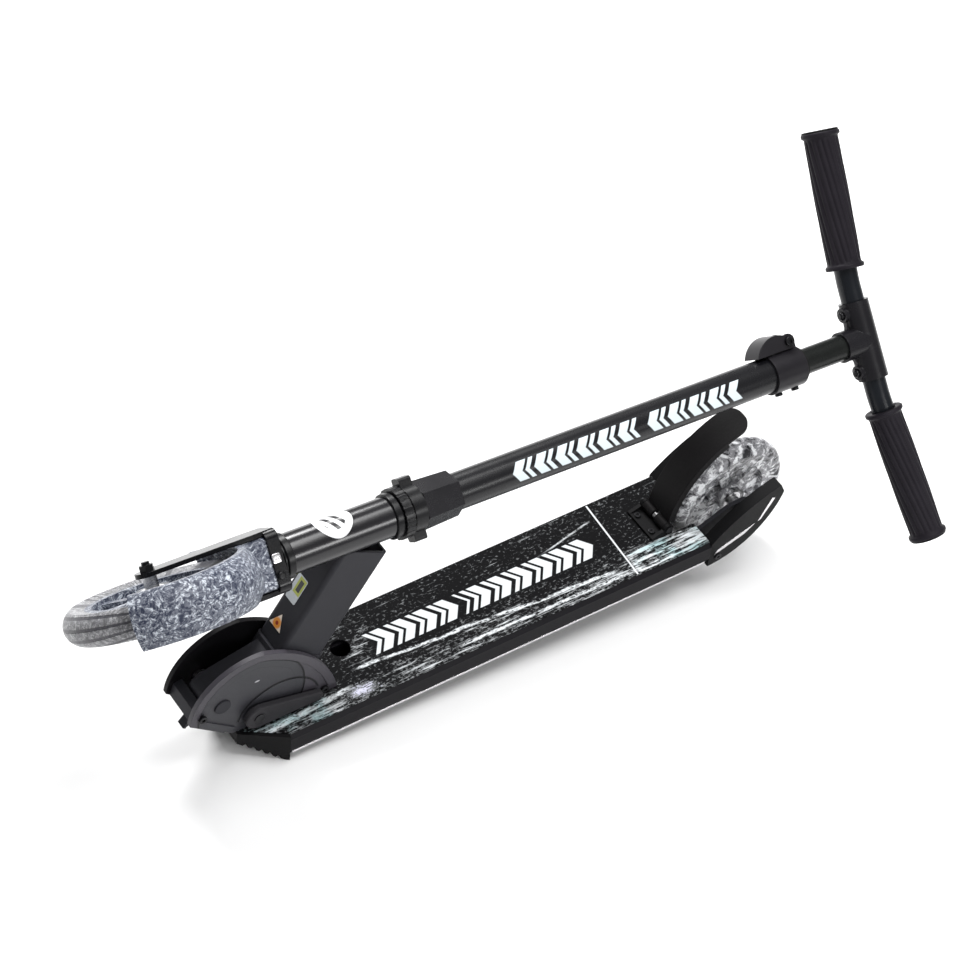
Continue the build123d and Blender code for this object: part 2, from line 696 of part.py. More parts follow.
# Split clamp at the top of the main tube, with its guide bush
clamp_start = 608.0
clamp_end = 648.0
clamp_radius = main_tube_radius + 2.8
ear_length = 20.0
ear_reach = clamp_radius + 10.2
ear_half = 9.0
slit_half = 1.5
clamp_pin_x = -clamp_radius - 6.2
clamp_pin_radius = 2.5
clamp_pin_station = clamp_end - ear_length / 2
clamp_view = Plane(origin=crown_point, x_dir=column_axis, z_dir=column_axis.cross(bar_axis))
screw_seats = [
    Plane(origin=crown_point + column_axis * station, x_dir=column_axis, z_dir=bar_axis)
    for station in (clamp_start + 9, clamp_end - 9)
]
collar_screw_radius = 2.0
with BuildPart() as clamp_collar:
    with BuildSketch(column.offset(clamp_start)):
        Circle(clamp_radius)
    extrude(amount=clamp_end - clamp_start)
    with BuildSketch(column.offset(clamp_end - ear_length)):
        with Locations((-ear_reach / 2, 0)):
            Rectangle(ear_reach, 2 * ear_half)
    extrude(amount=ear_length)
    with BuildSketch(column.offset(clamp_start)):
        Circle(main_tube_radius)
        with Locations((-ear_reach / 2, 0)):
            Rectangle(ear_reach + 1, 2 * slit_half)
    extrude(amount=clamp_end - clamp_start, mode=Mode.SUBTRACT)
    with BuildSketch(clamp_view.offset(-20)):
        with Locations((clamp_pin_station, clamp_pin_x)):
            Circle(clamp_pin_radius)
    extrude(amount=40, mode=Mode.SUBTRACT)
    for seat in screw_seats:
        with BuildSketch(seat):
            Circle(collar_screw_radius)
        extrude(amount=clamp_radius + 1, mode=Mode.SUBTRACT)
keep("clamp_collar", clamp_collar.part)
with BuildPart() as guide_bush:
    with BuildSketch(column.offset(main_tube_end - 32)):
        Circle(main_bore)
    extrude(amount=32)
    with BuildSketch(column.offset(main_tube_end)):
        Circle(main_tube_radius - 0.3)
    extrude(amount=clamp_end + 4 - main_tube_end)
    with BuildSketch(column.offset(main_tube_end - 32)):
        Circle(stem_radius + shaft_clearance)
    extrude(amount=clamp_end + 36 - main_tube_end, mode=Mode.SUBTRACT)
keep("tube_bushes", together([steerer_bush, guide_bush.part]))

# Quick-release lever: two cheeks outside the ears, joined by an arched web over the collar
cheek_inner = ear_half + 0.8
cheek_outer = cheek_inner + 3.0
lever_head = 8.0
lever_web = 2.6
lever_tip_station = 595.0
lever_floor = clamp_radius - 1.2
lever_crown = clamp_radius + 19.2
with BuildPart() as clamp_lever:
    with BuildSketch(clamp_view.offset(-cheek_outer)):
        with BuildLine():
            back = ThreePointArc((lever_tip_station, -lever_floor), (lever_tip_station + 14, -lever_crown + 5),
                                 (clamp_pin_station - 4, clamp_pin_x - lever_head + 0.5))
            nose = ThreePointArc(back @ 1, (clamp_pin_station + lever_head, clamp_pin_x),
                                 (clamp_pin_station, clamp_pin_x + lever_head))
            Polyline(nose @ 1, (clamp_pin_station - 9, -lever_floor), back @ 0)
        make_face()
    extrude(amount=2 * cheek_outer)
    with BuildSketch(clamp_view.offset(-cheek_inner)):
        with BuildLine():
            inside = ThreePointArc((lever_tip_station + lever_web, -lever_floor + 8),
                                   (lever_tip_station + 16, -lever_crown + 5 + lever_web),
                                   (clamp_pin_station - 11.5, clamp_pin_x - 5.4))
            Polyline(inside @ 1, (clamp_pin_station - 11.5, clamp_pin_x - 12), (clamp_pin_station + 12, clamp_pin_x - 12),
                     (clamp_pin_station + 12, -lever_floor + 12), (lever_tip_station + lever_web, -lever_floor + 12),
                     inside @ 0)
        make_face()
    extrude(amount=2 * cheek_inner, mode=Mode.SUBTRACT)
    with BuildSketch(clamp_view.offset(-cheek_outer - 1)):
        with Locations((clamp_pin_station, clamp_pin_x)):
            Circle(clamp_pin_radius + shaft_clearance)
    extrude(amount=2 * cheek_outer + 2, mode=Mode.SUBTRACT)
keep("clamp_lever", clamp_lever.part)
pin_centre = crown_point + column_axis * clamp_pin_station + bar_axis * clamp_pin_x
clamp_out = bar_axis.cross(column_axis)
clamp_pin_plane = Plane(origin=pin_centre, x_dir=column_axis, z_dir=clamp_out)
clamp_pin_back = Plane(origin=pin_centre, x_dir=column_axis, z_dir=-clamp_out)
pin_face = cheek_outer + 0.4
keep("clamp_pin", together([
    bolt(clamp_pin_plane, pin_face, 2 * pin_face + 5, clamp_pin_radius, 5.0, 3.0),
    nut(clamp_pin_back, pin_face, 4.0, 5.2, clamp_pin_radius),
]))

# Two screws on the collar's other side
screw_grip = clamp_radius - main_tube_radius
keep("collar_screws", together([
    bolt(seat, clamp_radius, screw_grip - 0.2, collar_screw_radius, 4.2, 3.2) for seat in screw_seats
]))

# Stem that telescopes in the main tube, with the tee that holds the two bars
tee_start = bar_station - 32.0
with BuildPart() as stem:
    with BuildSketch(column.offset(stem_start)):
        Circle(stem_radius)
        Circle(stem_radius - stem_wall, mode=Mode.SUBTRACT)
    extrude(amount=bar_station - tee_radius - 2 - stem_start)
keep("stem_tube", stem.part)
keep("stem_foot", ring(column, stem_start - 3, stem_start + 22, main_bore - 0.1, stem_radius))

button_x = 32.0
button_radius = 4.7
button_hole = button_radius + 0.3
bars_cross = Plane(origin=bar_point, x_dir=column_axis, z_dir=bar_axis)
button_view = Plane(origin=bar_point, x_dir=bar_axis, z_dir=-column_axis)
with BuildPart() as tee:
    with BuildSketch(bars_cross.offset(-tee_half)):
        Circle(tee_radius)
    extrude(amount=2 * tee_half)
    with BuildSketch(column.offset(tee_start)):
        Circle(stem_radius + 2.8)
    extrude(amount=bar_station - tee_start)
    with BuildSketch(clamp_view.offset(-2.5)):
        Polygon((bar_station - 12, -38), (bar_station - 12, 38), (tee_start + 12, 15), (tee_start + 12, -15), align=None)
    extrude(amount=5)
    with BuildSketch(button_view):
        with Locations((button_x, 0), (-button_x, 0)):
            Circle(8.0)
    extrude(amount=tee_radius + 3)
    with BuildSketch(bars_cross.offset(-tee_half)):
        Circle(bar_radius)
    extrude(amount=2 * tee_half, mode=Mode.SUBTRACT)
    with BuildSketch(column.offset(tee_start)):
        Circle(stem_radius)
    extrude(amount=bar_station - tee_radius - 2 - tee_start, mode=Mode.SUBTRACT)
    with BuildSketch(button_view):
        with Locations((button_x, 0), (-button_x, 0)):
            Circle(button_hole)
    extrude(amount=tee_radius + 4, mode=Mode.SUBTRACT)
keep("tee", tee.part)

bend_x = 64.0
bend_radius = 150.0
bar_inner = 6.0
sweep_angle = radians(bar_sweep)
bars = []
grips = []
plugs = []
for side, name in ((1, "left"), (-1, "right")):
    inner_end = bar_point + bar_axis * (side * bar_inner)
    bend_point = bar_point + bar_axis * (side * bend_x)
    outer_axis = bar_axis * (side * cos(sweep_angle)) + column_axis * sin(sweep_angle)
    outer_end = bend_point + outer_axis * ((bar_half - bend_x) / cos(sweep_angle))
    with BuildPart() as bar:
        with BuildLine() as bar_path:
            FilletPolyline(inner_end, bend_point, outer_end, radius=bend_radius)
        with BuildSketch(Plane(origin=inner_end, x_dir=column_axis, z_dir=bar_axis * side)):
            Circle(bar_radius)
            Circle(bar_radius - bar_wall, mode=Mode.SUBTRACT)
        sweep()
        with BuildSketch(button_view):
            with Locations((side * button_x, 0)):
                Circle(button_hole)
        extrude(amount=tee_radius, mode=Mode.SUBTRACT)
    bars.append(bar.part)

    with BuildPart() as button:
        with BuildSketch(button_view.offset(9.0)):
            with Locations((side * button_x, 0)):
                Circle(button_radius)
        extrude(amount=14.0)
        fillet(button.edges().filter_by(GeomType.CIRCLE).sort_by(Axis(bar_point, -column_axis))[-1], 2.5)
    keep(f"{name}_button", button.part)

    # Grip: a slightly barrelled sleeve with a flange at each end, closed by an end plug
    grip_plane = Plane(origin=outer_end, x_dir=column_axis, z_dir=-outer_axis)
    with BuildPart() as grip:
        with BuildSketch(Plane(origin=outer_end, x_dir=grip_plane.x_dir, z_dir=grip_plane.x_dir.cross(-outer_axis))):
            with BuildLine():
                Polyline((bar_radius, 0), (grip_flange_radius - 1, 0), (grip_flange_radius, 1), (grip_flange_radius, 4),
                         (grip_radius - 0.8, 6.5))
                ThreePointArc((grip_radius - 0.8, 6.5), (grip_radius, grip_length / 2),
                              (grip_radius - 0.8, grip_length - 6.5))
                Polyline((grip_radius - 0.8, grip_length - 6.5), (grip_flange_radius, grip_length - 4),
                         (grip_flange_radius, grip_length - 1), (grip_flange_radius - 1, grip_length),
                         (bar_radius, grip_length), (bar_radius, 0))
            make_face()
        revolve(axis=Axis(outer_end, -outer_axis))
    grips.append(grip.part)
    with BuildPart() as plug:
        with BuildSketch(Plane(origin=outer_end, x_dir=column_axis, z_dir=outer_axis)):
            Circle(grip_flange_radius - 1)
        extrude(amount=2.2)
        fillet(plug.edges().filter_by(GeomType.CIRCLE).sort_by(Axis(outer_end, outer_axis))[-1], 1.8)
        with BuildSketch(Plane(origin=outer_end, x_dir=column_axis, z_dir=-outer_axis)):
            Circle(bar_radius - bar_wall)
        extrude(amount=12)
    plugs.append(plug.part)
keep("handlebars", together(bars))
keep("grips", together(grips))
keep("end_plugs", together(plugs))

# Rear dropouts inside the deck arms, with the axle
dropout_start = deck_arm_end - 4.0
dropouts = []
for side in (1, -1):
    with BuildPart() as dropout:
        with BuildSketch(across(side * (dropout_inner + dropout_thickness / 2) + dropout_thickness / 2)):
            with BuildLine():
                Polyline((deck_arm_end + 22, -9), (deck_arm_end + 22, -30), (deck_arm_end, -30), (rear_axle_x, -16))
                end = ThreePointArc((rear_axle_x, rear_axle_z - 14), (rear_axle_x - 14, rear_axle_z),
                                    (rear_axle_x, rear_axle_z + 14))
                Polyline(end @ 1, (rear_axle_x + 18, rear_axle_z + 13), (deck_arm_end - 2, -7),
                         (deck_arm_end + 22, -7), (deck_arm_end + 22, -9))
            make_face()
            with Locations((rear_axle_x, rear_axle_z)):
                Circle(axle_radius, mode=Mode.SUBTRACT)
        extrude(amount=dropout_thickness)
    dropouts.append(dropout.part)
keep("dropouts", together(dropouts))

dropout_outer = dropout_inner + dropout_thickness
rear_side = facing(1, rear_axle_x, 0, rear_axle_z)
rear_other_side = facing(-1, rear_axle_x, 0, rear_axle_z)
keep("rear_axle", together([
    bolt(rear_side, dropout_outer, 2 * dropout_outer + 9, axle_radius, 7.5, 5),
    nut(rear_other_side, dropout_outer, 6, 7.5, axle_radius),
]))
keep("rear_spacers", together([
    ring(plane, hub_half + 0.3, dropout_inner, axle_radius + 3, axle_radius) for plane in (rear_side, rear_other_side)
]))

# Rear side covers, sweeping up past the wheel, hollow on the inside, each with bright accents
cover_inner = deck_half - 14.0
cover_wall = 3.0
boss_x = -341.0
boss_z = -24.2
boss_radius = 5.5
accent_height = 0.6
cover_screw_radius = 2.0
accents = []
deck_screws = []
covers = []


def cover_outline():
    """A blade that continues the rail and sweeps up beside the wheel."""
    with BuildSketch() as outline:
        with BuildLine():
            Line((deck_arm_end, -1), (deck_arm_end, -36))
            belly = ThreePointArc((deck_arm_end, -36), (-388, -14), (-420, 38))
            crest = ThreePointArc((-414, 50), (-372, 32), (deck_arm_end, -1))
            Line(belly @ 1, crest @ 0)
        make_face()
    return outline.sketch


for side in (1, -1):
    with BuildPart() as cover:
        with BuildSketch(across(deck_half if side > 0 else -cover_inner)):
            add(cover_outline())
        extrude(amount=deck_half - cover_inner)
        with BuildSketch(across(deck_half - cover_wall if side > 0 else -cover_inner)):
            add(cover_outline())
            offset(amount=-cover_wall, mode=Mode.REPLACE)
        extrude(amount=deck_half - cover_wall - cover_inner, mode=Mode.SUBTRACT)
        with BuildSketch(facing(side, boss_x, side * dropout_outer, boss_z)):
            Circle(boss_radius)
        extrude(amount=deck_half - cover_wall / 2 - dropout_outer)
        with BuildSketch(facing(side, boss_x, side * (dropout_outer - 1), boss_z)):
            Circle(cover_screw_radius)
        extrude(amount=deck_half - dropout_outer + 2, mode=Mode.SUBTRACT)
    covers.append(cover.part)
    deck_screws.append(bolt(facing(side, boss_x, side * deck_half, boss_z), 0, 20, cover_screw_radius, 4.0, 2.4))
    with BuildPart() as accent:
        with BuildSketch(across(deck_half + accent_height if side > 0 else -deck_half)):
            Polygon((-336, -20), (-374, -6), (-386, 4), (-340, -13.5), align=None)
            Polygon((-390, 5.5), (-393.5, 7), (-408, 34), (-404, 36), align=None)
        extrude(amount=accent_height)
    accents.append(accent.part)
keep("rear_covers", together(covers))
keep("bright_trim", together(strips + accents))

# Brake: a sprung paddle hinged on a bracket at the end of the deck
bracket_inner = brake_width / 2
ear_thickness = 4.0
brake_pin_radius = 2.5
barrel_radius = 6.0
spring_room = 6.0
with BuildPart() as brake_bracket:
    with BuildSketch(Plane.XY):
        with Locations((brake_hinge_x + 13, 0)):
            RectangleRounded(16, brake_width + 8, 3)
        with Locations((bracket_screw_x, bracket_screw_y), (bracket_screw_x, -bracket_screw_y)):
            Circle(bracket_screw_radius, mode=Mode.SUBTRACT)
    extrude(amount=3)
    for side in (1, -1):
        with BuildSketch(across(side * (bracket_inner + ear_thickness / 2 + 0.5) + ear_thickness / 2)):
            with BuildLine():
                Polyline((brake_hinge_x + 21, 0), (brake_hinge_x - 6, 0), (brake_hinge_x - 6, brake_hinge_z))
                ear = ThreePointArc((brake_hinge_x - 6, brake_hinge_z), (brake_hinge_x, brake_hinge_z + 6),
                                    (brake_hinge_x + 6, brake_hinge_z))
                Polyline(ear @ 1, (brake_hinge_x + 21, 3), (brake_hinge_x + 21, 0))
            make_face()
            with Locations((brake_hinge_x, brake_hinge_z)):
                Circle(brake_pin_radius, mode=Mode.SUBTRACT)
        extrude(amount=ear_thickness)
keep("brake_bracket", brake_bracket.part)
pin_end = bracket_inner + ear_thickness + 0.5
keep("brake_pin", bolt(facing(1, brake_hinge_x, pin_end, brake_hinge_z), 0, 2 * pin_end + 1.5, brake_pin_radius,
                       4.2, 1.6, socket=False))
for side in (1, -1):
    deck_screws.append(bolt(Plane((bracket_screw_x, side * bracket_screw_y, 3)), 0, 3 + sheet_thickness + deck_wall,
                            bracket_screw_radius, 3.4, 1.8))
keep("deck_screws", together(deck_screws))

paddle_foot = (brake_hinge_x - 1.5, brake_hinge_z + 5.0)
paddle_middle = (-324.0, 77.0)
paddle_tip = (-392.0, 118.0)
paddle_arc = ThreePointArc(paddle_foot, paddle_middle, paddle_tip)
paddle_centre = paddle_arc.arc_center
paddle_radius = paddle_arc.radius
lip_width = 2.5
lip_depth = 9.0
pad_width = 28.0
pad_thickness = 8.0
spring_wire = 1.2


def arc_point(angle, depth):
    """A side-view point under the paddle's skin; angles run from +X towards +Z in degrees."""
    inward = paddle_radius - depth
    return (paddle_centre.X + inward * cos(radians(angle)), paddle_centre.Y + inward * sin(radians(angle)))


lip_end = arc_point(62, 0)
with BuildPart() as brake_paddle:
    with BuildSketch(across(brake_width / 2)):
        with BuildLine():
            skin = ThreePointArc(paddle_foot, paddle_middle, paddle_tip)
            offset(amount=-brake_thickness, side=Side.LEFT)
        make_face()
    extrude(amount=brake_width)
    fillet(brake_paddle.edges().sort_by(Axis.X)[1:3], brake_width / 2 - 2.5)
    # Stiffening lips along both sides, clear of the tyre
    for side in (1, -1):
        with BuildSketch(across(side * (brake_width / 2 - lip_width / 2) + lip_width / 2)):
            with BuildLine():
                lip = ThreePointArc(paddle_foot, paddle_middle, lip_end)
                offset(amount=-lip_depth, side=Side.LEFT)
            make_face()
        extrude(amount=lip_width)
    # Hinge barrel, parted in the middle for the spring
    with BuildSketch(across(brake_width / 2)):
        with Locations((brake_hinge_x, brake_hinge_z)):
            Circle(barrel_radius)
    extrude(amount=brake_width)
    with BuildSketch(across(brake_width / 2)):
        with Locations((brake_hinge_x, brake_hinge_z)):
            Circle(brake_pin_radius + shaft_clearance)
    extrude(amount=brake_width, mode=Mode.SUBTRACT)
    with BuildSketch(across(spring_room / 2)):
        with Locations((brake_hinge_x, brake_hinge_z - 2)):
            Rectangle(2 * barrel_radius + 5, 2 * barrel_radius + 4)
    extrude(amount=spring_room, mode=Mode.SUBTRACT)
keep("brake_paddle", brake_paddle.part)

# Friction pad under the paddle
with BuildPart() as brake_pad:
    with BuildSketch(across(pad_width / 2)):
        with BuildLine():
            Polyline(arc_point(28, brake_thickness), arc_point(28, brake_thickness + pad_thickness))
            ThreePointArc(*[arc_point(angle, brake_thickness + pad_thickness) for angle in (28, 37, 46)])
            Polyline(arc_point(46, brake_thickness + pad_thickness), arc_point(46, brake_thickness))
            ThreePointArc(*[arc_point(angle, brake_thickness) for angle in (46, 37, 28)])
        make_face()
    extrude(amount=pad_width)
keep("brake_pad", brake_pad.part)

# Torsion spring on the hinge pin
with BuildPart() as brake_spring:
    with BuildLine() as coil:
        Helix(pitch=spring_wire * 1.15, height=spring_room - 2.2 * spring_wire, radius=brake_pin_radius + spring_wire,
              center=(brake_hinge_x, spring_wire * 1.1 - spring_room / 2, brake_hinge_z), direction=(0, 1, 0))
    with BuildSketch(Plane(origin=coil.line @ 0, z_dir=coil.line % 0)):
        Circle(spring_wire / 2)
    sweep()
keep("brake_spring", brake_spring.part)

# Labels on the front of the down tube
neck_front = Plane(origin=neck_section.origin + neck_section.x_dir * (neck_depth / 2), x_dir=(0, 1, 0),
                   z_dir=neck_section.x_dir)
with BuildPart() as spec_label:
    with BuildSketch(neck_front):
        with Locations((-6, 65)):
            RectangleRounded(16, 30, 1.5)
    extrude(amount=label_thickness)
with BuildPart() as caution_label:
    with BuildSketch(neck_front):
        with Locations((-4, 22)):
            Triangle(a=19, b=19, c=19)
    extrude(amount=label_thickness)
keep("neck_labels", together([spec_label.part, caution_label.part]))

# Stand the folded scooter on its nose edge and rear wheel, then centre it over the origin
reach = hypot(deck_front + 4 - rear_axle_x, deck_bottom - rear_axle_z)
pitch = degrees(asin(rear_wheel_radius / reach) + atan2(deck_bottom - rear_axle_z, deck_front + 4 - rear_axle_x))
level = Location((0, 0, 0), (0, pitch, 0))
extent = Compound(children=[part.moved(level) for part in pieces]).bounding_box()
stand = Location(Vector(-extent.center().X, -extent.center().Y, -extent.min.Z)) * level

os.makedirs("parts", exist_ok=True)
for part in pieces:
    placed = part.moved(stand)
    placed.label = part.label
    export_step(placed, f"parts/{part.label}.step")


def row_point(point):
    """A design-frame point in the finished part's frame, in metres."""
    x, y, z = tuple(Vertex(*Vector(point)).moved(stand).center())
    return [round(value / 1000, 6) for value in (x, y, z)]


def row_axis(direction):
    """A design-frame direction in the finished part's frame."""
    x, y, z = tuple(Vertex(*Vector(direction)).moved(level).center())
    return [round(value, 6) for value in (x, y, z)]


across_axis = Vector(0, 1, 0)
print("pieces", len(pieces), "size", extent.size, "pitch", round(pitch, 3))
for name, point, axis in (
    ("neck_fold", (pivot_x, 0, pivot_z), across_axis),
    ("steering", crown_point, column_axis),
    ("front_wheel_spin", front_axle_point, bar_axis),
    ("rear_wheel_spin", (rear_axle_x, 0, rear_axle_z), across_axis),
    ("brake_press", (brake_hinge_x, 0, brake_hinge_z), -across_axis),
    ("lock_turn", (lock_x, 0, lock_z), across_axis),
    ("clamp_open", pin_centre, clamp_out),
    ("stem_height", bar_point, column_axis),
    ("button_press", bar_point, column_axis),
    ("deck_underside", (-60, 0, deck_bottom), (0, 0, -1)),
    ("deck_top", (-60, 0, 0), (0, 0, 1)),
):
    print("frame", name, row_point(point), row_axis(axis))
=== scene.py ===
import json
from math import cos, pi, radians, sin

import bpy
import numpy as np
from mathutils import Matrix, Vector


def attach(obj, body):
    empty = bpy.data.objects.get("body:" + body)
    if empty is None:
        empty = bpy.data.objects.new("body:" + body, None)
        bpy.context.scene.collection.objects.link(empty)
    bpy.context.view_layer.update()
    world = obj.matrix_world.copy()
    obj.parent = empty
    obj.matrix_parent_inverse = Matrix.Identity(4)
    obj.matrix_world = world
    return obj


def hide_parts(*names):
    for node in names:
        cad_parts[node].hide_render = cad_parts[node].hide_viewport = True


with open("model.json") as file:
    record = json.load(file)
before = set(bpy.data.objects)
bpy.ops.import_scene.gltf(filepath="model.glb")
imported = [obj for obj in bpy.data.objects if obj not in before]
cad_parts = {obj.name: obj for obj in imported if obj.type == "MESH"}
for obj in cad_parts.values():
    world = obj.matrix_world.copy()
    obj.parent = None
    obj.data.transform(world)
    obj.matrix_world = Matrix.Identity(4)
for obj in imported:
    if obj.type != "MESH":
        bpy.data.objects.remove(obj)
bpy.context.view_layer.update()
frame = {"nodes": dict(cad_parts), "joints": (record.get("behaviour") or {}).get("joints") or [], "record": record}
joints = {joint["name"]: joint for joint in frame["joints"]}
nodes = frame["nodes"]
record = frame["record"]
print("frame loaded with", len(nodes), "nodes")


# Places that patterns and pieces follow: the tilted deck, the turned column and the two wheels

def axesAt(origin, xAxis, yAxis, zAxis):
    # a matrix whose columns are the three axes, standing at the origin given
    spot = Matrix((xAxis, yAxis, zAxis)).transposed().to_4x4()
    spot.translation = origin
    return spot


deckSize = {"height": 0.038, "mountBack": 0.060}
underside = record["mounts"][0]
deckUp = -Vector(underside["axis"])
deckForward = Vector((deckUp.z, 0, -deckUp.x))
acrossDeck = Vector((0, 1, 0))
deckOrigin = Vector(underside["pos_m"]) + deckUp * deckSize["height"] + deckForward * deckSize["mountBack"]
deckSpot = axesAt(deckOrigin, deckForward, acrossDeck, deckUp)

columnAxis = Vector(joints["steering"]["axis"]).normalized()
crownPoint = Vector(joints["steering"]["pos_m"])
barAxis = Vector(joints["front_wheel_spin"]["axis"]).normalized()
columnSpot = axesAt(crownPoint, columnAxis, barAxis, columnAxis.cross(barAxis))
headSpot = axesAt(crownPoint, columnAxis, -acrossDeck, acrossDeck.cross(columnAxis))
frontAxle = Vector(joints["front_wheel_spin"]["pos_m"])
rearAxle = Vector(joints["rear_wheel_spin"]["pos_m"])
frontWheelSpot = axesAt(frontAxle, columnAxis, columnAxis.cross(barAxis), barAxis)
rearWheelSpot = axesAt(rearAxle, deckForward, deckUp, -acrossDeck)
neck = {"footForward": 0.165, "footUp": 0.070, "lean": 30.3}
neckUp = deckUp * cos(radians(neck["lean"])) - deckForward * sin(radians(neck["lean"]))
neckOrigin = deckOrigin + deckForward * neck["footForward"] + deckUp * neck["footUp"]
neckSpot = axesAt(neckOrigin, neckUp, acrossDeck, neckUp.cross(acrossDeck))


# Shader maths written as expressions

class Signal:
    # wraps one socket; an operator adds the Math node for it
    def __init__(self, paint, socket):
        self.paint, self.socket = paint, socket

    def maths(self, operation, *others):
        return self.paint.add("Math", {"operation": operation}, dict(enumerate([self, *others])))

    def __add__(self, other):
        return self.maths("ADD", other)

    def __sub__(self, other):
        return self.maths("SUBTRACT", other)

    def __rsub__(self, other):
        return self.paint.add("Math", {"operation": "SUBTRACT"}, {0: other, 1: self})

    def __mul__(self, other):
        return self.maths("MULTIPLY", other)

    def __truediv__(self, other):
        return self.maths("DIVIDE", other)

    __radd__ = __add__
    __rmul__ = __mul__

    def __abs__(self):
        return self.maths("ABSOLUTE")

    def rise(self, low, high):
        # 0 below low, 1 above high, smooth between; falls instead when high is the smaller
        return self.paint.add("MapRange", {"interpolation_type": "SMOOTHSTEP"},
                              {"Value": self, "From Min": low, "From Max": high})

    def band(self, low, high, soft):
        # 1 between low and high with soft edges
        return self.rise(low - soft, low + soft) * self.rise(high + soft, high - soft)


class Paint:
    # one material, filled with nodes by type, settings and socket values
    def __init__(self, name):
        self.material = bpy.data.materials.new(name)
        self.material.use_nodes = True
        self.tree = self.material.node_tree
        self.tree.nodes.clear()
        self.place = self.add("TexCoord", out="Object")

    def add(self, kind, settings=None, values=None, out=0):
        node = self.tree.nodes.new("ShaderNode" + kind)
        for key, value in (settings or {}).items():
            setattr(node, key, value)
        for key, value in (values or {}).items():
            if isinstance(value, Signal):
                self.tree.links.new(value.socket, node.inputs[key])
            else:
                node.inputs[key].default_value = value
        return Signal(self, node.outputs[out])

    def along(self, spot, stretch=(1, 1, 1)):
        # Object coordinates seen from a spot's own axes, then stretched
        local = self.add("Mapping", {"vector_type": "TEXTURE"},
                         {"Vector": self.place, "Location": tuple(spot.translation),
                           "Rotation": tuple(spot.to_euler())})
        return self.add("VectorMath", {"operation": "MULTIPLY"}, {0: local, 1: stretch})

    def split(self, vector):
        node = self.add("SeparateXYZ", values={0: vector}).socket.node
        return [Signal(self, socket) for socket in node.outputs]

    def noise(self, vector, scale, detail=3.0, roughness=0.5, distortion=0.0):
        return self.add("TexNoise", values={"Vector": vector, "Scale": scale, "Detail": detail,
                                            "Roughness": roughness, "Distortion": distortion})

    def mix(self, factor, first, second):
        # colours as three numbers or as signals
        def colour(value):
            return value if isinstance(value, Signal) else (*value, 1)
        return self.add("Mix", {"data_type": "RGBA"}, {0: factor, 6: colour(first), 7: colour(second)}, out=2)

    def finish(self, colour, roughness, height=None, depth=0.0002, edge=0.0005, **constants):
        # closes the material: bump from the height signal over normals rounded at the edges
        shader = {"Base Color": colour if isinstance(colour, Signal) else (*colour, 1), "Roughness": roughness}
        shader.update(constants)
        normal = self.add("Bevel", {"samples": 4}, {"Radius": edge}) if edge else None
        if height is not None:
            bump = {"Height": height, "Distance": depth, "Strength": 1.0}
            if normal:
                bump["Normal"] = normal
            normal = self.add("Bump", values=bump)
        if normal:
            shader["Normal"] = normal
        surface = self.add("BsdfPrincipled", values=shader)
        output = self.tree.nodes.new("ShaderNodeOutputMaterial")
        self.tree.links.new(surface.socket, output.inputs["Surface"])
        return self.material


def plainCoat(name, base, roughness, grain=900.0, grainDepth=0.00004, variation=0.25, edge=0.0005, **constants):
    # an even coat: colour and roughness drift with wide noise, fine noise gives the grain
    paint = Paint(name)
    drift = paint.noise(paint.place, 35.0, 4.0)
    fine = paint.noise(paint.place, grain, 2.0)
    darker = [channel * (1 - variation) for channel in base]
    lighter = [channel * (1 + variation) for channel in base]
    colour = paint.mix(drift, darker, lighter)
    gloss = drift * 0.12 + fine * 0.06 + (roughness - 0.09)
    return paint.finish(colour, gloss, fine, grainDepth, edge, **constants)


def scuffedMetal(name, base, roughness, brushing, **constants):
    # bare metal with lines brushed along one axis and faint handling marks
    paint = Paint(name)
    lines = paint.noise(paint.along(Matrix.Identity(4), brushing), 1.0, 4.0, 0.65)
    marks = paint.noise(paint.place, 60.0, 5.0, 0.6)
    colour = paint.mix(lines, [channel * 0.82 for channel in base], base)
    return paint.finish(colour, lines * 0.14 + marks * 0.10 + (roughness - 0.12), lines, 0.00003, 0.0004,
                        Metallic=1.0, **constants)


# Deck print: a black sheet with grey specks, pale streaks along it, two rows of plain arrows and thin lines
deckPrint = {
    "half": 0.054, "rowStarts": (-0.218, -0.046), "rowEnds": (-0.056, 0.060), "arrowPitch": 0.0262,
    "arrowCentre": -0.004, "arrowHalf": 0.0142, "lean": 0.75, "lineX": -0.2385, "lineWidth": 0.0012,
    "ink": (0.70, 0.73, 0.75), "black": (0.0030, 0.0030, 0.0036),
    "teal": (0.30, 0.50, 0.52), "lilac": (0.62, 0.62, 0.78),
}


def arrowRow(along, sideways, start, end, pitch, lean, half):
    # a thick and a thin chevron to each pitch: bands of (along - |sideways| lean), cut off at the row's ends
    skewed = along - abs(sideways) * lean
    step = ((skewed - start) / pitch).maths("FRACT")
    marks = step.band(0.06, 0.50, 0.02) + step.band(0.64, 0.84, 0.02)
    return marks * skewed.band(start, end, 0.0003) * abs(sideways).rise(half + 0.0004, half)


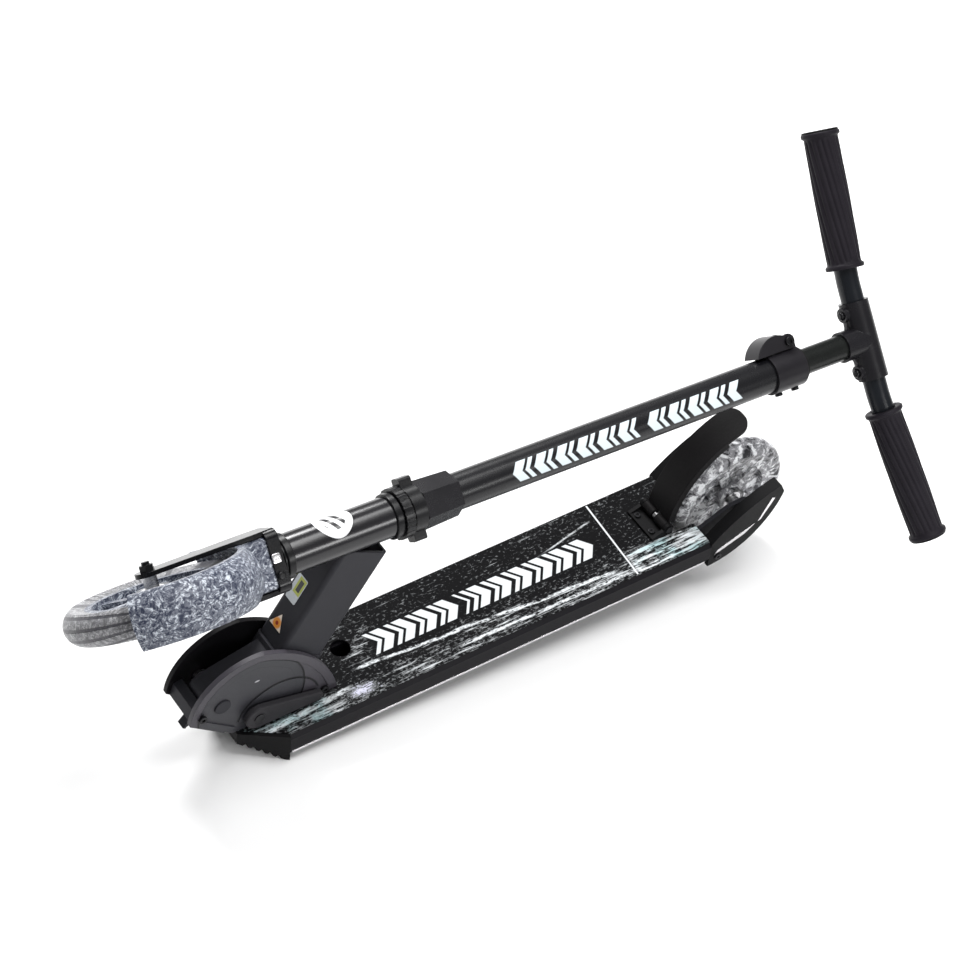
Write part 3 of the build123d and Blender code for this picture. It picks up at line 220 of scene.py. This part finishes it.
def printedDeck():
    # ink = specks and long torn streaks, strongest near the left edge, + painted lines + the two rows of arrows
    size = deckPrint
    paint = Paint("printedDeckSheet")
    x, y, z = paint.split(paint.along(deckSpot))
    wander = paint.noise(paint.along(deckSpot), 22.0, 4.0, 0.6)
    specks = paint.noise(paint.along(deckSpot, (1.0, 1.5, 1.0)), 240.0, 4.0, 0.62, 0.5)
    dashes = paint.noise(paint.along(deckSpot, (0.30, 1.7, 1.0)), 230.0, 4.0, 0.65, 0.3)
    streaks = paint.noise(paint.along(deckSpot, (0.14, 2.6, 1.0)), 120.0, 5.0, 0.65, 0.2)
    nearSide = y.rise(0.008, 0.050)
    tail = x.rise(-0.236, -0.242) * y.rise(0.020, 0.026)
    nose = x.rise(0.100, 0.150) * y.rise(0.012, 0.030)
    holeWay = ((x - 0.092) * (x - 0.092) + (y + 0.016) * (y + 0.016)).maths("SQRT")
    cover = wander * 0.34 + nearSide * 0.10 + tail * 0.04 + nose * 0.03 + holeWay.rise(0.042, 0.016) * 0.05
    speckled = (specks + cover * 0.6).rise(0.66, 0.80) * 0.20 + (dashes + cover * 0.9).rise(0.80, 0.92) * 0.42
    streaked = (streaks + cover * 1.0).rise(0.80, 0.94) * 0.75
    torn = (dashes * 0.6 + specks * 0.5).rise(0.44, 0.60)
    drift = (wander - 0.5) * 0.010
    paintedRuns = (
        abs(y - 0.0225 + x * 0.075 + drift).rise(0.0026, 0.0009) * x.band(-0.214, 0.092, 0.006) * 0.95
        + abs(y - 0.0425 + x * 0.020 + drift * 0.5).rise(0.0026, 0.0010) * x.band(-0.236, -0.020, 0.012) * 0.8
        + abs(y + 0.0155 - (x + 0.143) * 0.2 + drift * 0.4).rise(0.0015, 0.0006) * x.band(-0.230, -0.130, 0.004) * 0.7
        + abs(y - 0.0160 + x * 0.045 - drift * 0.6).rise(0.0020, 0.0008) * x.band(-0.300, -0.244, 0.004) * 0.9
        + abs(y - 0.0340 - (x - 0.113) * 0.07 + drift).rise(0.0045, 0.0012) * x.band(0.112, 0.212, 0.008) * 0.8
    )
    splashWay = ((x - 0.101) * (x - 0.101) * 0.22 + (y - 0.042) * (y - 0.042)).maths("SQRT") + (specks - 0.5) * 0.026
    splash = splashWay.rise(0.0085, 0.0045) * torn
    tailFill = tail * (streaks * 0.6 + dashes * 0.4).rise(0.46, 0.56) * 0.75
    grunge = (speckled + streaked + paintedRuns * torn + tailFill).maths("MINIMUM", 1.0).maths(
        "MAXIMUM", splash * 0.95)

    side = y - size["arrowCentre"]
    arrows = None
    for start, end in zip(size["rowStarts"], size["rowEnds"]):
        row = arrowRow(x, side, start, end, size["arrowPitch"], size["lean"], size["arrowHalf"])
        arrows = row if arrows is None else arrows + row
    ground = x.band(size["rowStarts"][0] - 0.006, size["rowEnds"][1] + 0.004, 0.003)
    ground = ground * abs(side).rise(size["arrowHalf"] + 0.0045, size["arrowHalf"] + 0.0015)
    crossLine = abs(x - size["lineX"] - y * 0.06).rise(size["lineWidth"], size["lineWidth"] * 0.6)
    crossLine = crossLine * abs(y).rise(0.0535, 0.0525)
    ink = (grunge * (1 - ground * 0.9)).maths("MAXIMUM", arrows * 0.98).maths("MAXIMUM", crossLine * 0.95)
    tint = paint.mix((wander * (nose + tail)).rise(0.42, 0.62) * 0.7, size["ink"], size["teal"])
    tint = paint.mix(splash, tint, size["lilac"])
    colour = paint.mix(ink, size["black"], tint)
    grit = paint.noise(paint.place, 1400.0, 2.0)
    return paint.finish(colour, 0.62 - ink * 0.12 + grit * 0.1, grit + ink * 0.3, 0.00012, 0.0003,
                        **{"Specular IOR Level": 0.06})


# Marbled urethane and its matching mudguard: white flecks and veins over smoke grey, with black smoke behind
def marbled(name, spot, stretch, tones, scale, lift):
    # tone = two torn noises along the flow, lifted; dark below 0, mid to 0.5, pale above 0.7
    smoke, mid, pale = tones
    paint = Paint(name)
    flow = paint.add("TexNoise", values={"Vector": paint.along(spot), "Scale": 50.0, "Detail": 3.0}, out=1)
    bent = paint.add("VectorMath", {"operation": "ADD"}, {
        0: paint.along(spot, stretch),
        1: paint.add("VectorMath", {"operation": "SCALE"}, {0: flow, "Scale": 0.022})})
    body = paint.noise(bent, scale, 5.0, 0.66, 0.6)
    fine = paint.noise(bent, scale * 2.4, 4.0, 0.7, 0.2)
    tone = (body - 0.5) * 4.6 + (fine - 0.5) * 2.6 + lift
    shade = paint.mix(tone.rise(-0.15, 0.35), smoke, mid)
    shade = paint.mix(tone.rise(0.50, 0.95), shade, pale)
    relief = body * 0.7 + fine * 0.5
    return paint, shade, relief, tone


def marbledGuard():
    tones = ((0.028, 0.034, 0.060), (0.145, 0.158, 0.195), (0.58, 0.62, 0.68))
    paint, shade, relief, tone = marbled("marbledMudguard", frontWheelSpot, (0.75, 1.0, 1.25), tones, 250.0, 0.30)
    return paint.finish(shade, 0.42 - tone * 0.03, relief, 0.00016, 0.0006, **{"Specular IOR Level": 0.3})


def marbledTyre(name, spot, scale, lift, ribs=0):
    # the same marble; ribs across the tread come from the sine of the angle about the axle, and their grooves are
    # painted dark as shade
    tones = ((0.010, 0.010, 0.013), (0.22, 0.22, 0.235), (0.76, 0.77, 0.79))
    paint, shade, relief, tone = marbled(name, spot, (1.0, 1.0, 1.3), tones, scale, lift)
    depth = 0.0002
    if ribs:
        x, y, z = paint.split(paint.along(spot))
        groove = (y.maths("ARCTAN2", x) * ribs).maths("SINE").rise(0.45, 0.85)
        shade = paint.mix(0.55, shade, (0.20, 0.20, 0.21))
        # painted shade: the rib grooves are painted dark
        shade = paint.mix(groove * 0.85, shade, (0.045, 0.045, 0.055))
        relief = relief * 0.2 - groove
        depth = 0.0010
    return paint.finish(shade, 0.40 - tone * 0.03, relief, depth, 0.0006, **{"Specular IOR Level": 0.35})


# Main tube: gloss black with two rows of plain pale arrows along its upper side
tubePrint = {"starts": (0.268, 0.436), "ends": (0.424, 0.554), "pitch": 0.0260, "half": 0.0105, "lean": 0.75,
             "radius": 0.019, "turn": 0.001}


def printedTube():
    # the rows of arrows lie in station and arc length, where arc = angle about the axis times the radius
    size = tubePrint
    paint = Paint("printedMainTube")
    s, b, c = paint.split(paint.along(columnSpot))
    arc = b.maths("ARCTAN2", c * -1.0) * size["radius"] - size["turn"]
    ink = None
    for start, end in zip(size["starts"], size["ends"]):
        row = arrowRow(s, arc, start, end, size["pitch"], size["lean"], size["half"])
        ink = row if ink is None else ink + row
    drift = paint.noise(paint.place, 30.0, 4.0)
    fine = paint.noise(paint.place, 700.0, 2.0)
    colour = paint.mix(ink, (0.0055, 0.0055, 0.007), (0.68, 0.76, 0.80))
    return paint.finish(colour, drift * 0.10 + fine * 0.04 + 0.20 + ink * 0.12, ink * 0.5 + fine * 0.06, 0.00006, 0.0005,
                        **{"Specular IOR Level": 0.35})


# Head tube: gloss paint with a plain round badge, a pale disc crossed by three slanted bars
badge = {
    "station": 0.068, "side": 0.005, "radius": 0.0200, "barPitch": 0.0105, "barFill": 0.50, "barReach": 0.0125,
}


def badgedHead():
    # badge = distance from its centre on the upper side only; bars = bands of a slanted station
    size = badge
    paint = Paint("badgedHeadTube")
    s, y, up = paint.split(paint.along(headSpot))
    fromCentre, aside = s - size["station"], y - size["side"]
    away = (fromCentre * fromCentre + aside * aside).maths("SQRT")
    upper = up.rise(-0.001, 0.001)
    disc = away.rise(size["radius"] + 0.0003, size["radius"]) * upper
    bars = ((fromCentre + aside * 0.5) / size["barPitch"] + 0.5 + size["barFill"] / 2).maths("FRACT")
    bars = bars.band(0.03, size["barFill"], 0.03) * away.rise(size["barReach"] + 0.0004, size["barReach"])
    ink = disc * (1 - bars * 0.96)
    drift = paint.noise(paint.place, 40.0, 4.0)
    colour = paint.mix(ink, (0.0075, 0.0070, 0.0090), (0.78, 0.79, 0.80))
    return paint.finish(colour, drift * 0.08 + 0.17 + ink * 0.14, ink, 0.00010, 0.0006,
                        **{"Specular IOR Level": 0.5})


def labelFilm():
    # upper label: pale film with a yellow-green frame in its upper half; lower label: orange, white at its rim
    paint = Paint("plainLabels")
    h, y, z = paint.split(paint.along(neckSpot))
    worn = paint.noise(paint.place, 260.0, 4.0)
    lower = h.rise(0.042, 0.040)
    frameOut = h.band(0.060, 0.079, 0.0003) * abs(y + 0.004).rise(0.0056, 0.0052)
    frameIn = h.band(0.063, 0.076, 0.0003) * abs(y + 0.004).rise(0.0030, 0.0026)
    pale = paint.mix(worn, (0.44, 0.47, 0.50), (0.62, 0.66, 0.68))
    pale = paint.mix(frameOut, pale, (0.42, 0.46, 0.08))
    pale = paint.mix(frameIn, pale, (0.03, 0.03, 0.03))
    away = ((h - 0.022) * (h - 0.022) + (y + 0.004) * (y + 0.004)).maths("SQRT")
    warm = paint.mix(away.rise(0.0046, 0.0072), (0.80, 0.30, 0.04), (0.84, 0.72, 0.60))
    warm = paint.mix(away.rise(0.0026, 0.0018), warm, (0.32, 0.03, 0.01))
    return paint.finish(paint.mix(lower, pale, warm), 0.35 + worn * 0.1, worn, 0.00002, 0.0)


def circleThrough(first, second, third):
    # centre and radius of the circle through three points of a side view
    rows = np.array([np.subtract(second, first), np.subtract(third, first)])
    squares = (np.sum(np.square([second, third]), axis=1) - np.sum(np.square(first))) / 2
    centre = np.linalg.solve(rows, squares)
    return float(centre[0]), float(centre[1]), float(np.hypot(*(centre - first)))


fan = {
    "front": ((0.294, 0.043), (0.263, 0.095), (0.212, 0.106)),
    "back": ((0.212, 0.106), (0.162, 0.074), (0.122, 0.0)),
    "lobe": ((0.146, 0.014), (0.200, 0.048), (0.238, 0.014)), "rim": 0.0090, "inner": 0.0190,
}


def fanPaintWithPaintedLight():
    # depth = how far inside the fan's two arcs
    # the rim is painted pale as a highlight, with painted shade in a groove inside it, then a fine arc and a line
    # round the lobe, both painted dark as shade
    size = fan
    paint = Paint("fanPlatePaintWithPaintedLight")
    x, y, z = paint.split(paint.along(deckSpot))

    def inside(points):
        cx, cz, radius = circleThrough(*points)
        return radius - ((x - cx) * (x - cx) + (z - cz) * (z - cz)).maths("SQRT")

    depth = inside(size["front"]).maths("MINIMUM", inside(size["back"]))
    groove = depth.band(size["rim"] - 0.0003, size["rim"] + 0.0016, 0.0003)
    fineArc = depth.band(size["inner"], size["inner"] + 0.0007, 0.0003)
    rim = depth.rise(size["rim"], size["rim"] - 0.0005)
    lobeShadeLine = abs(inside(size["lobe"]) + 0.0010).rise(0.0014, 0.0008) * z.rise(0.012, 0.016)
    fleck = ((x - 0.218) * (x - 0.218) + (z - 0.067) * (z - 0.067) * 6.0).maths("SQRT")
    drift = paint.noise(paint.place, 30.0, 4.0)
    fine = paint.noise(paint.place, 1100.0, 2.0)
    colour = paint.mix(drift, (0.026, 0.026, 0.031), (0.040, 0.040, 0.047))
    # painted highlight: the rim band is painted paler than the plate
    colour = paint.mix(rim * 0.8, colour, (0.058, 0.053, 0.064))
    # painted shade: the groove, the fine arc and the line round the lobe are painted darker
    colour = paint.mix((groove + fineArc * 0.3 + lobeShadeLine * 0.9).maths("MINIMUM", 1.0), colour, (0.004, 0.004, 0.005))
    colour = paint.mix(fleck.rise(0.0036, 0.0018) * 0.8, colour, (0.55, 0.55, 0.58))
    return paint.finish(colour, drift * 0.10 + fine * 0.06 + 0.34, fine * 0.12 - groove, 0.0005, 0.0008,
                        **{"Specular IOR Level": 0.3})


low = {"Specular IOR Level": 0.07}
middle = {"Specular IOR Level": 0.22}
black = (0.0050, 0.0045, 0.0062)
paints = {
    "deck_black": plainCoat("deckRailPaint", black, 0.36, **low),
    "moulded_black": plainCoat("mouldedBlack", (0.0065, 0.0065, 0.0070), 0.46, 650.0, 0.00010, **low),
    "deck_print": printedDeck(),
    "gunmetal": plainCoat("gunmetalPaint", (0.030, 0.030, 0.035), 0.38, 1100.0, 0.00003, 0.15, 0.0009, **low),
    "bolt_black": plainCoat("blackOxideBolts", (0.02, 0.02, 0.022),
        0.32, 1500.0, 0.00002, 0.3, 0.0004, Metallic=0.8),
    "steel": scuffedMetal("zincSteel", (0.62, 0.62, 0.63), 0.28, (40.0, 900.0, 40.0)),
    "bright_trim": scuffedMetal("brightStrip", (0.80, 0.78, 0.80), 0.20, (30.0, 30.0, 1200.0)),
    "lever_grey": plainCoat("leverGrey", (0.030, 0.029, 0.032), 0.40, 800.0, 0.00006, 0.2, 0.001, **low),
    "gloss_black": badgedHead(),
    "headset_black": plainCoat("headsetBlack", (0.0075, 0.0075, 0.0085),
        0.28, 1200.0, 0.00003, 0.25, 0.0007, **middle),
    "label": labelFilm(),
    "fork_black": plainCoat("forkGlossBlack", (0.005, 0.005, 0.006),
        0.22, 900.0, 0.00002, 0.25, 0.001, **middle),
    "tube_black": plainCoat("tubeBlack", (0.010, 0.0095, 0.0115),
        0.26, 900.0, 0.00002, 0.25, 0.001, **middle),
    "nylon": plainCoat("blackNylon", (0.012, 0.012, 0.012), 0.45, **low),
    "marble": marbledGuard(),
    "clamp_black": plainCoat("clampSatin", (0.012, 0.011, 0.0135),
        0.32, 900.0, 0.00004, 0.3, 0.0012, **middle),
    "tyre_marble": marbledTyre("marbledFrontTyre", frontWheelSpot, 230.0, 0.40, 52),
    "stem_black": plainCoat("stemAnodised", (0.0075, 0.0085, 0.0080), 0.27, 1200.0, 0.00002, **middle),
    "bar_black": plainCoat("barAnodised", (0.0085, 0.010, 0.013), 0.25, 1200.0, 0.00002, **middle),
    "grip_rubber": plainCoat("gripRubber", (0.0165, 0.0145, 0.0185), 0.46, 1600.0, 0.00008, **low),
    "button_black": plainCoat("buttonPolish", (0.007, 0.007, 0.008), 0.18, 900.0, 0.00001, **middle),
    "paddle_black": plainCoat("paddleGrain", (0.0085, 0.0080, 0.0085),
        0.50, 480.0, 0.00016, 0.3, 0.0012, **low),
    "pad_black": plainCoat("padRubber", (0.010, 0.010, 0.010), 0.7, 500.0, 0.0002, **low),
}
special = {
    "left_fan_plate": fanPaintWithPaintedLight(),
    # painted shade: the far fan plate gets a much darker copy of the plate colour than the near plate
    "right_fan_plate": plainCoat("farFanShadedPaint", (0.0065, 0.0060, 0.0070),
        0.42, 900.0, 0.00005, 0.3, 0.0008, **low),
    "main_tube": printedTube(),
    "rear_tyre": marbledTyre("marbledRearTyre", rearWheelSpot, 70.0, 0.52),
    "deck_screws": paints["bolt_black"],
}
special["rear_wheel_core"] = special["rear_tyre"]
for row in record["subparts"]:
    finish = special.get(row["node"], paints[row["material_slot"]])
    mesh = nodes[row["node"]].data
    mesh.materials.clear()
    mesh.materials.append(finish)
print("materials:", len(bpy.data.materials))


# Fluted grips: a barrelled sleeve with twisted flutes and two flanges, bored for the bar
handlebar = {"station": 0.742, "half": 0.226, "bend": 0.064, "sweep": 5.5, "tubeRadius": 0.0127}
grip = {
    "length": 0.148, "radius": 0.0192, "flange": 0.0210, "flangeWidth": 0.0050,
    "flutes": 18, "fluteDepth": 0.0014,
    "twist": 0.9, "stations": 150, "around": 240,
}


def shell(name, points):
    # a closed surface from rows of points: every row is a ring, and the last row joins the first
    rows, columns = points.shape[:2]
    index = np.arange(rows * columns).reshape(rows, columns)
    nextRow = np.roll(index, -1, axis=0)
    faces = np.stack([index, np.roll(index, -1, axis=1), np.roll(nextRow, -1, axis=1), nextRow], axis=-1)
    mesh = bpy.data.meshes.new(name)
    mesh.from_pydata(points.reshape(-1, 3).tolist(), [], faces.reshape(-1, 4).tolist())
    mesh.shade_smooth()
    piece = bpy.data.objects.new(name, mesh)
    bpy.context.scene.collection.objects.link(piece)
    return piece


def gripSleeve(name, side):
    # radius over length and angle: barrel + flanges, less flutes that turn with the length
    bend = crownPoint + columnAxis * handlebar["station"] + barAxis * (side * handlebar["bend"])
    sweep = radians(handlebar["sweep"])
    outward = barAxis * (side * cos(sweep)) + columnAxis * sin(sweep)
    end = bend + outward * ((handlebar["half"] - handlebar["bend"]) / cos(sweep))
    inward, across = -outward, columnAxis - outward * columnAxis.dot(outward)
    across.normalize()
    third = inward.cross(across)
    length, flange = grip["length"], grip["flangeWidth"]
    t = np.linspace(0, length, grip["stations"])[:, None]
    angle = np.linspace(0, 2 * pi, grip["around"], endpoint=False)[None, :]
    fromEnd = np.minimum(t, length - t)
    inFlange = 1 / (1 + np.exp((fromEnd - flange) / 0.00035))
    barrel = grip["radius"] - 0.0009 * (2 * t / length - 1) ** 2
    fade = np.clip((fromEnd - flange - 0.001) / 0.004, 0, 1)
    wave = np.abs(np.cos(grip["flutes"] / 2 * (angle + grip["twist"] * t / length))) ** 0.8
    body = barrel - grip["fluteDepth"] * (1 - wave) * fade
    edge = 0.0009 * np.clip(1 - fromEnd / 0.0012, 0, 1) ** 2
    radius = body * (1 - inFlange) + (grip["flange"] - edge) * inFlange
    bore = np.full((2, grip["around"]), handlebar["tubeRadius"])
    radius = np.concatenate([radius, bore])
    t = np.concatenate([t, [[length]], [[0.0]]])
    ring = np.cos(angle)[..., None] * np.array(across) + np.sin(angle)[..., None] * np.array(third)
    points = np.array(end) + t[..., None] * np.array(inward) + radius[..., None] * ring
    piece = shell(name, points)
    piece.data.materials.append(paints["grip_rubber"])
    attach(piece, "handlebar")
    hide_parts("grips")


gripSleeve("leftGrip", 1)
gripSleeve("rightGrip", -1)
print("grips made")


# Crown details: a bright square plate standing in for a painted highlight, and a round screw on the crown's broad face
crown = {"face": -0.0200, "station": -0.0042, "plateSide": -0.0032, "plateHalf": 0.0047, "screwSide": 0.0142,
         "screwRadius": 0.0042, "plateHigh": 0.0008, "screwHigh": 0.0022}


def stud(name, side, half, high, squareness, finish):
    # rings of a superellipse |u|^n + |v|^n = half^n, from a pole under the face, out, up, in and to a pole on top
    angle = np.linspace(0, 2 * pi, 48, endpoint=False)
    u = np.sign(np.cos(angle)) * np.abs(np.cos(angle)) ** (2 / squareness)
    v = np.sign(np.sin(angle)) * np.abs(np.sin(angle)) ** (2 / squareness)
    widths = half * np.array([0.5, 1.0, 1.0, 0.97, 0.90, 0.5])[:, None]
    heights = np.array([-0.001, -0.001, high * 0.6, high * 0.85, high, high])[:, None]
    c = crown["face"] - heights + 0 * widths
    rings = np.stack([crown["station"] + widths * u, side + widths * v, np.broadcast_to(c, (6, 48))], axis=-1)
    poles = np.array([[crown["station"], side, crown["face"] + 0.001], [crown["station"], side, crown["face"] - high]])
    local = np.concatenate([rings.reshape(-1, 3), poles])
    axes = np.array([columnAxis, barAxis, columnAxis.cross(barAxis)])
    points = np.array(crownPoint) + local @ axes
    index = np.arange(6 * 48).reshape(6, 48)
    turned = np.roll(index, -1, axis=1)
    quads = np.stack([index[:-1], index[1:], turned[1:], turned[:-1]], axis=-1).reshape(-1, 4)
    under = np.stack([np.full(48, 288), index[0], turned[0]], axis=-1)
    over = np.stack([np.full(48, 289), turned[-1], index[-1]], axis=-1)
    mesh = bpy.data.meshes.new(name)
    mesh.from_pydata(points.tolist(), [], quads.tolist() + under.tolist() + over.tolist())
    mesh.shade_smooth()
    piece = bpy.data.objects.new(name, mesh)
    bpy.context.scene.collection.objects.link(piece)
    mesh.materials.append(paints[finish])
    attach(piece, "steering")


# painted highlight: a bright metal square put where the crown shows a glint
stud("crownHighlightPlate", crown["plateSide"], crown["plateHalf"], crown["plateHigh"], 6.0, "bright_trim")
stud("crownScrew", crown["screwSide"], crown["screwRadius"], crown["screwHigh"], 2.0, "headset_black")
print("crown details made")


# Studio: pale floor, one broad key behind the scooter, two fills and a dim sky
studio = {"floorHalf": 7.0, "floorTone": (0.90, 0.90, 0.90), "sky": 0.34}
floorMesh = bpy.data.meshes.new("studioFloor")
half = studio["floorHalf"]
floorMesh.from_pydata(
    [(-half, -half, 0), (half, -half, 0), (half, half, 0), (-half, half, 0)], [], [(0, 1, 2, 3)])
floor = bpy.data.objects.new("studioFloor", floorMesh)
bpy.context.scene.collection.objects.link(floor)
floorMesh.materials.append(plainCoat("floorPaper", studio["floorTone"], 0.9, 300.0, 0.00001, 0.01, 0.0))


def softBox(name, place, aim, width, depth, power):
    light = bpy.data.lights.new(name, "AREA")
    light.shape, light.size, light.size_y, light.energy = "RECTANGLE", width, depth, power
    box = bpy.data.objects.new(name, light)
    box.location = place
    box.rotation_euler = (Vector(aim) - Vector(place)).to_track_quat("-Z", "Y").to_euler()
    bpy.context.scene.collection.objects.link(box)


softBox("keyPanel", (-0.5, -2.3, 2.1), (0, 0, 0.1), 1.3, 0.8, 100.0)
softBox("topPanel", (-0.5, 0.2, 3.3), (0, 0, 0), 2.2, 1.6, 92.0)
softBox("sidePanel", (-0.9, 2.9, 1.5), (0, 0, 0.2), 1.4, 0.6, 34.0)
world = bpy.data.worlds.new("studioSky")
world.use_nodes = True
world.node_tree.nodes["Background"].inputs["Color"].default_value = (1, 1, 1, 1)
world.node_tree.nodes["Background"].inputs["Strength"].default_value = studio["sky"]
bpy.context.scene.world = world
bpy.context.scene.view_settings.view_transform = "Standard"

# Camera: above the rider's left, looking down along the folded column
view = {
    "place": (1.176727, 1.568522, 2.122492), "aim": (-0.250419, 0.0, -0.011775), "roll": 11.915, "lens": 111.84,
}
camera = bpy.data.objects.new("camera", bpy.data.cameras.new("camera"))
camera.data.lens = view["lens"]
camera.data.clip_end = 30.0
ahead = (Vector(view["aim"]) - Vector(view["place"])).normalized()  # both are measured from the fork crown
level = ahead.cross(Vector((0, 0, 1))).normalized()
upright = level.cross(ahead)
roll = radians(view["roll"])
right = level * cos(roll) + upright * sin(roll)
camera.matrix_world = axesAt(crownPoint + Vector(view["place"]), right, right.cross(ahead), -ahead)
bpy.context.scene.collection.objects.link(camera)
bpy.context.scene.camera = camera
print("studio and camera set")
